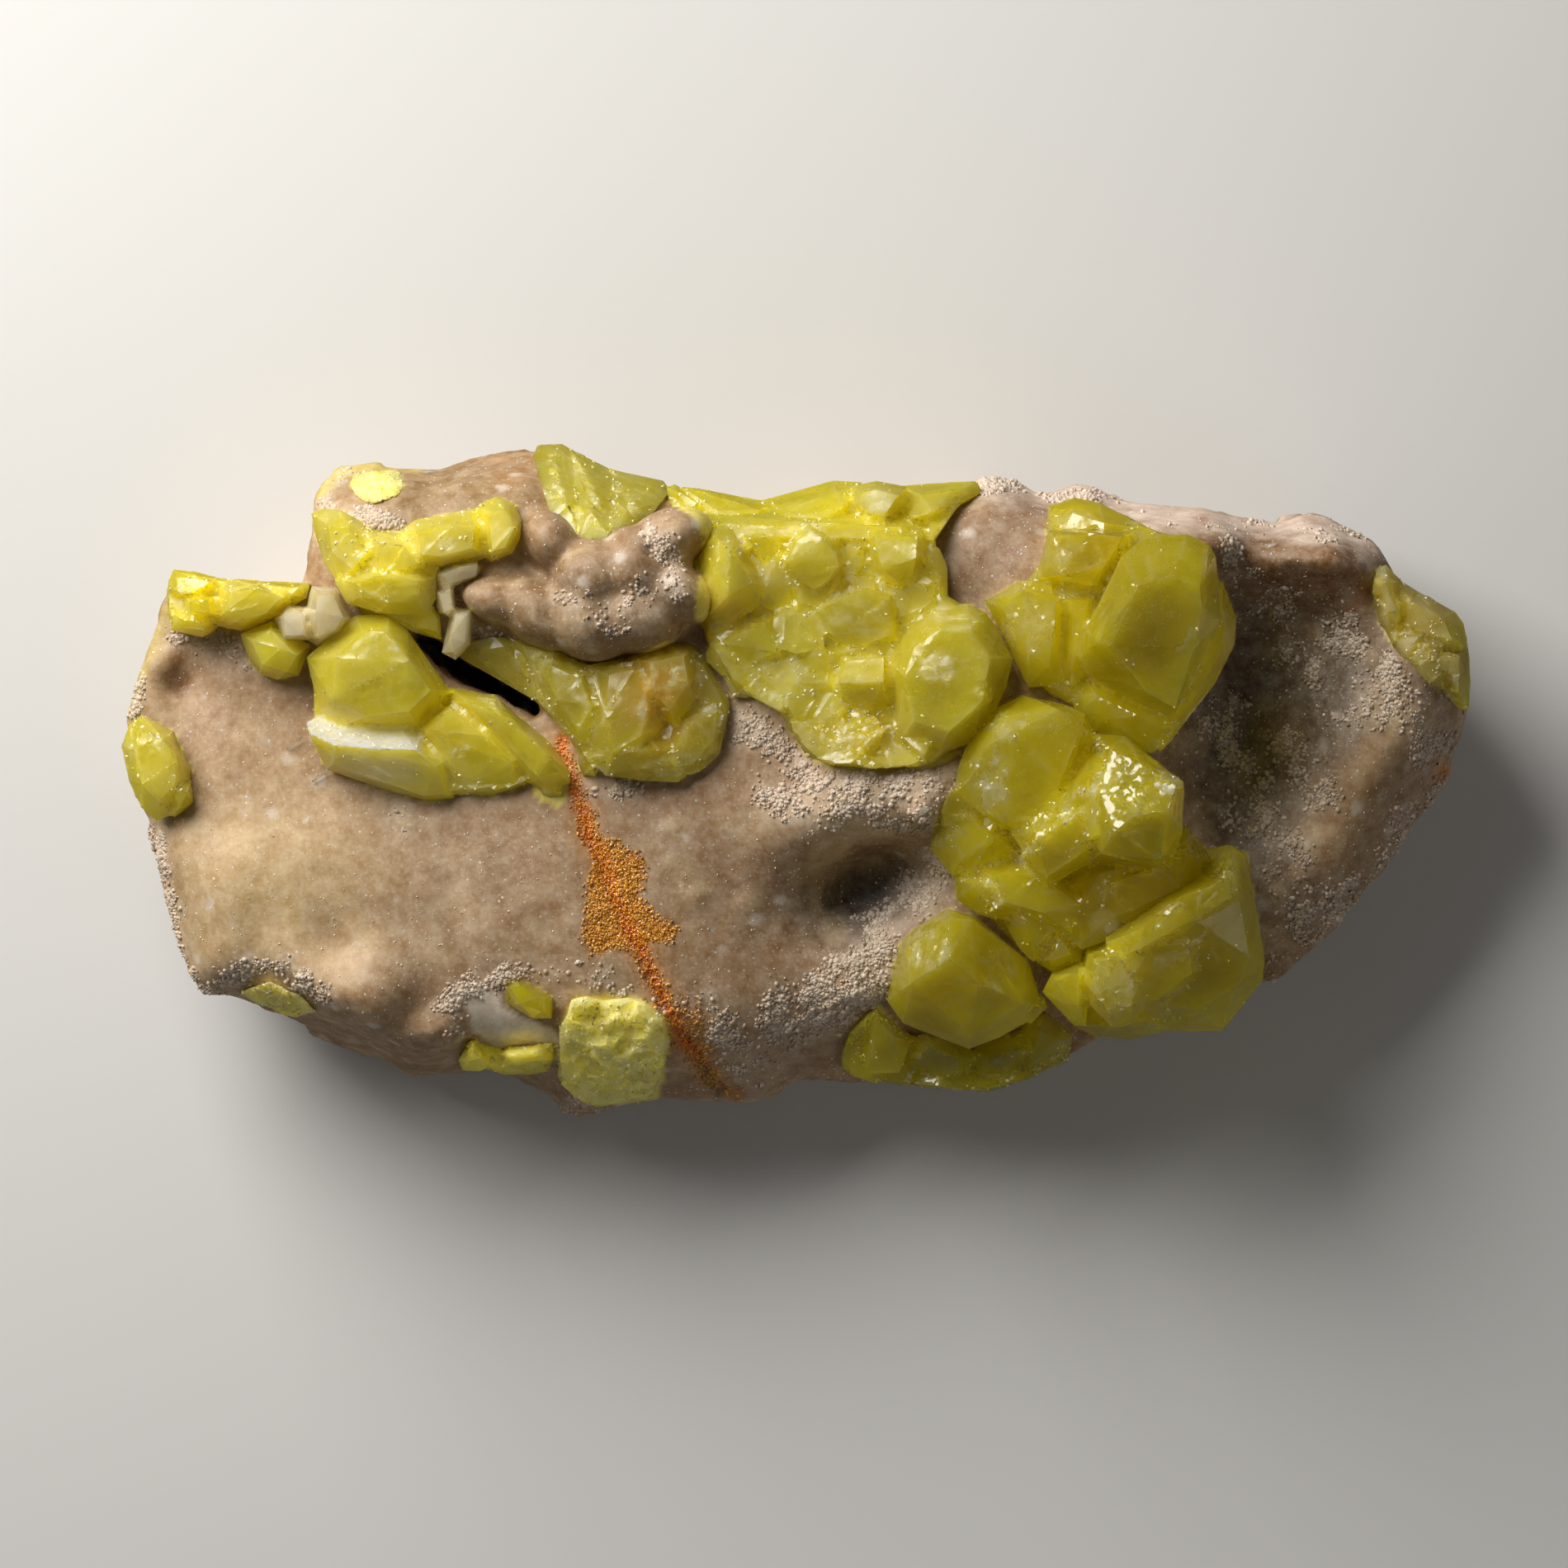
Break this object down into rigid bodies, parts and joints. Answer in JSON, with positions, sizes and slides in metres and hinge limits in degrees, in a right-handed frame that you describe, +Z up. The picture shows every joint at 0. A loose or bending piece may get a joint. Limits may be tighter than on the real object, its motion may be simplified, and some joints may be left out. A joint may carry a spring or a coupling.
{
  "type": "sulfur specimen",
  "caption": "A loose slab of druse-coated rock with stout glassy sulfur crystals and small calcite crystals grown over its front, lying on its flat back for display.",
  "frame": {"origin": "middle of the bounding box on the flat underside", "axes": "+X along the slab's length, to the right in the picture; +Y towards the slab's upper edge in the picture; +Z up, out of the crystal-covered front"},
  "size_m": [0.1646, 0.0823, 0.05],
  "materials": {
    "matrix_rock": "taupe rock under a fine sparkling druse, with cream broken edges and orange-brown stains",
    "sulfur": "translucent lemon to olive crystal with a resinous gloss and pale frosted faces",
    "calcite": "cloudy grey-white translucent crystal"
  },
  "bodies": {
    "root": {"matrix_rock": "matrix_rock", "sulfur_tall_right_crystals": "sulfur", "sulfur_glittery_stack": "sulfur", "sulfur_lower_right_cluster": "sulfur", "sulfur_lower_crystal": "sulfur", "sulfur_main_band": "sulfur", "sulfur_cluster_below_ridge": "sulfur", "sulfur_centre_left_cluster": "sulfur", "sulfur_upper_left_cluster": "sulfur", "calcite_pair": "calcite", "sulfur_small_crystals_by_calcite": "sulfur", "sulfur_top_left_ledge": "sulfur", "sulfur_left_edge_crystal": "sulfur", "calcite_small_crystal": "calcite", "sulfur_top_edge_plate": "sulfur", "sulfur_right_edge_patch": "sulfur", "sulfur_lower_edge_crust": "sulfur", "sulfur_bottom_patch": "sulfur", "sulfur_bottom_small_crystal": "sulfur", "sulfur_bottom_edge_strip": "sulfur", "sulfur_lower_left_patch": "sulfur", "sulfur_top_left_patch": "sulfur"}
  },
  "joints": []
}
